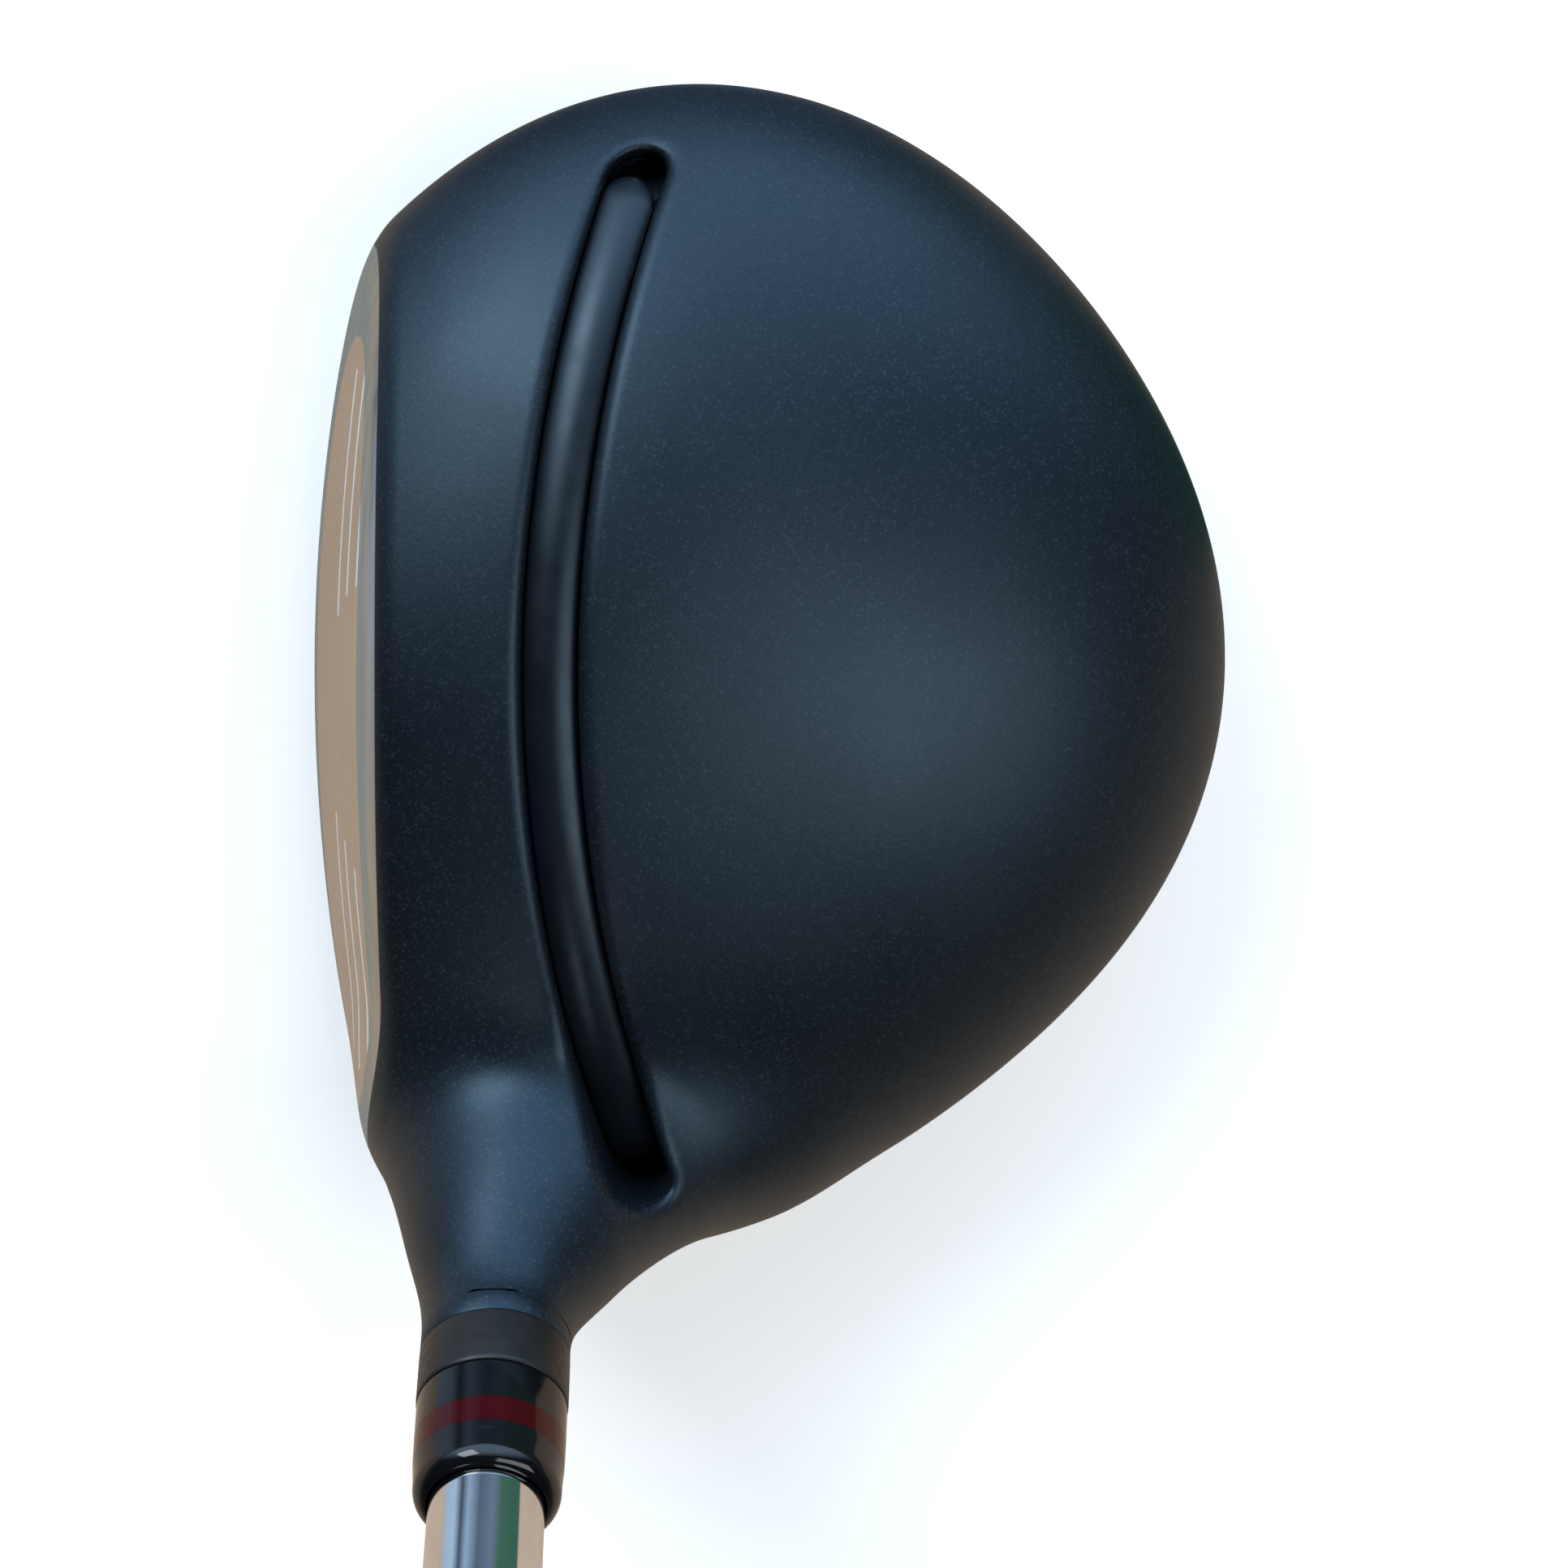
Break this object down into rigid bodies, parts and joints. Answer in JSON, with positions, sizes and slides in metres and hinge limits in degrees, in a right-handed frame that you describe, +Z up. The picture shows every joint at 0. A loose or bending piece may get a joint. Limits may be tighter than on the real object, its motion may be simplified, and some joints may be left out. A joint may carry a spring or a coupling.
{
  "type": "fairway wood golf club",
  "caption": "Right-handed adjustable fairway wood: slotted crown, steel face, screwed loft sleeve, stepped steel shaft and rubber grip.",
  "frame": {"origin": "centre of the small flat on the lowest point of the sole, with the club soled at address", "axes": "+Z up, +Y from heel to toe, +X from the face to the back, so the target is towards -X; the shaft rises towards -Y at a 58 degree lie"},
  "size_m": [0.0828, 0.6661, 0.9316],
  "materials": {
    "body_paint": "satin black paint, bare brushed steel at the face edge",
    "crown_paint": "satin black paint with a fine metallic grain",
    "face_steel": "brushed, with light scorelines",
    "slot_filler": "smooth satin black elastomer",
    "weight_metal": "satin",
    "nylon": "matte",
    "screw_steel": "machined",
    "sleeve_black": "matte black anodised",
    "ferrule_black": "polished",
    "ferrule_red": "polished",
    "shaft_chrome": "bright chrome",
    "plug_plastic": "matte",
    "grip_tape": "paper-backed adhesive tape",
    "grip_rubber": "moulded texture"
  },
  "bodies": {
    "head": {"head_body": "body_paint", "crown_plate": "crown_paint", "face_plate": "face_steel", "crown_slot_bar": "slot_filler", "hosel_screw_retainer": "nylon"},
    "shaft_assembly": {"adapter_sleeve": "sleeve_black", "ferrule_lower": "ferrule_black", "ferrule_ring": "ferrule_red", "ferrule_upper": "ferrule_black", "shaft": "shaft_chrome", "shaft_tip_plug": "plug_plastic", "grip_tape": "grip_tape", "grip": "grip_rubber", "grip_cap": "grip_rubber"},
    "screw_washer": {"hosel_screw_washer": "screw_steel"},
    "screw": {"hosel_screw": "screw_steel"},
    "weight_washer": {"sole_weight_washer": "nylon"},
    "weight": {"sole_weight": "weight_metal"}
  },
  "joints": [
    {"name": "shaft_pull", "type": "slide", "parent": "head", "child": "shaft_assembly", "axis": [0, -0.5299, 0.848], "range_m": [0, 0.036]},
    {"name": "hosel_screw_travel", "type": "slide", "parent": "head", "child": "screw_washer", "axis": [0, 0.5299, -0.848], "range_m": [0, 0.0072]},
    {"name": "hosel_screw_turn", "type": "hinge", "parent": "screw_washer", "child": "screw", "pos_m": [-0.01, -0.03439, 0.01362], "axis": [0, 0.5299, -0.848], "range_deg": [0, 3242]},
    {"name": "sole_weight_travel", "type": "slide", "parent": "head", "child": "weight_washer", "axis": [0.165, 0, -0.9863], "range_m": [0, 0.004]},
    {"name": "sole_weight_turn", "type": "hinge", "parent": "weight_washer", "child": "weight", "pos_m": [0.03, 0, 0.0019], "axis": [0.165, 0, -0.9863], "range_deg": [0, 1441]}
  ],
  "couplings": [
    {"joint": "hosel_screw_turn", "follows": "hosel_screw_travel", "rad_per_m": 7854},
    {"joint": "sole_weight_turn", "follows": "sole_weight_travel", "rad_per_m": 6283.2}
  ]
}
